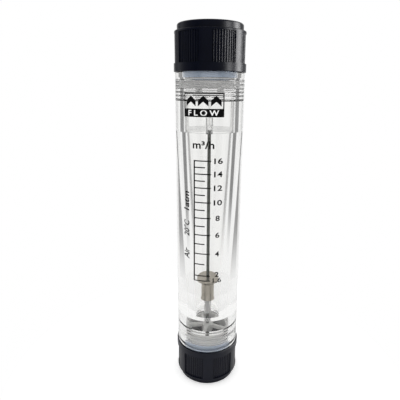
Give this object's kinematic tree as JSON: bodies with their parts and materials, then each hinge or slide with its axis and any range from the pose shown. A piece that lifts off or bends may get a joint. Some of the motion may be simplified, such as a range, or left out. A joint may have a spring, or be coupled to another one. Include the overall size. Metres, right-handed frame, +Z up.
{
  "type": "rotameter",
  "caption": "Clear tube gas flow meter: taper bore, steel float on a guide rod, printed scale, and a union nut with a pipe socket at each end.",
  "frame": {"origin": "centre of the base, on the tube's axis at the lower union nut's end face", "axes": "+Z up along the tube's axis, the direction of flow; -Y is the front, where the scale is printed"},
  "size_m": [0.04, 0.04, 0.2173],
  "materials": {
    "clear_acrylic": "polished clear acrylic",
    "clear_guide": "moulded clear polycarbonate",
    "black_abs": "moulded black ABS, semi-gloss",
    "nitrile_rubber": "moulded, matt",
    "dark_steel": "drawn, dull",
    "polished_steel": "turned and polished",
    "natural_nylon": "natural, translucent",
    "milky_polypropylene": "moulded, translucent white",
    "milky_silicone": "moulded, translucent",
    "black_ink": "screen printed"
  },
  "bodies": {
    "body": {"measuring_tube": "clear_acrylic", "guide_rod": "dark_steel", "lower_float_stop": "natural_nylon", "upper_float_stop": "dark_steel", "upper_guide": "clear_guide", "lower_guide": "natural_nylon", "upper_retaining_ring": "milky_polypropylene", "lower_retaining_ring": "milky_polypropylene", "rod_washer": "polished_steel", "rod_nut": "polished_steel", "scale_ladder": "black_ink", "name_frame": "black_ink"},
    "float": {"float_body": "polished_steel"},
    "upper_union": {"upper_end_piece": "black_abs", "upper_face_seal": "nitrile_rubber", "upper_nose_seal": "nitrile_rubber", "upper_port_gasket": "milky_silicone"},
    "upper_nut": {"upper_union_nut": "black_abs"},
    "lower_union": {"lower_end_piece": "black_abs", "lower_face_seal": "nitrile_rubber", "lower_nose_seal": "nitrile_rubber", "lower_port_gasket": "milky_silicone"},
    "lower_nut": {"lower_union_nut": "black_abs"}
  },
  "joints": [
    {"name": "float_rise", "type": "slide", "parent": "body", "child": "float", "axis": [0, 0, 1], "range_m": [0, 0.089]},
    {"name": "upper_union_slide", "type": "slide", "parent": "body", "child": "upper_union", "axis": [0, 0, 1], "range_m": [0, 0.014]},
    {"name": "upper_nut_turn", "type": "hinge", "parent": "upper_union", "child": "upper_nut", "pos_m": [0, 0, 0.2053], "axis": [0, 0, 1], "range_deg": [0, 2520]},
    {"name": "lower_union_slide", "type": "slide", "parent": "body", "child": "lower_union", "axis": [0, 0, -1], "range_m": [0, 0.014]},
    {"name": "lower_nut_turn", "type": "hinge", "parent": "lower_union", "child": "lower_nut", "pos_m": [0, 0, 0.012], "axis": [0, 0, -1], "range_deg": [0, 2520]}
  ],
  "couplings": [
    {"joint": "upper_union_slide", "follows": "upper_nut_turn", "m_per_rad": 0.00031831},
    {"joint": "lower_union_slide", "follows": "lower_nut_turn", "m_per_rad": 0.00031831}
  ]
}
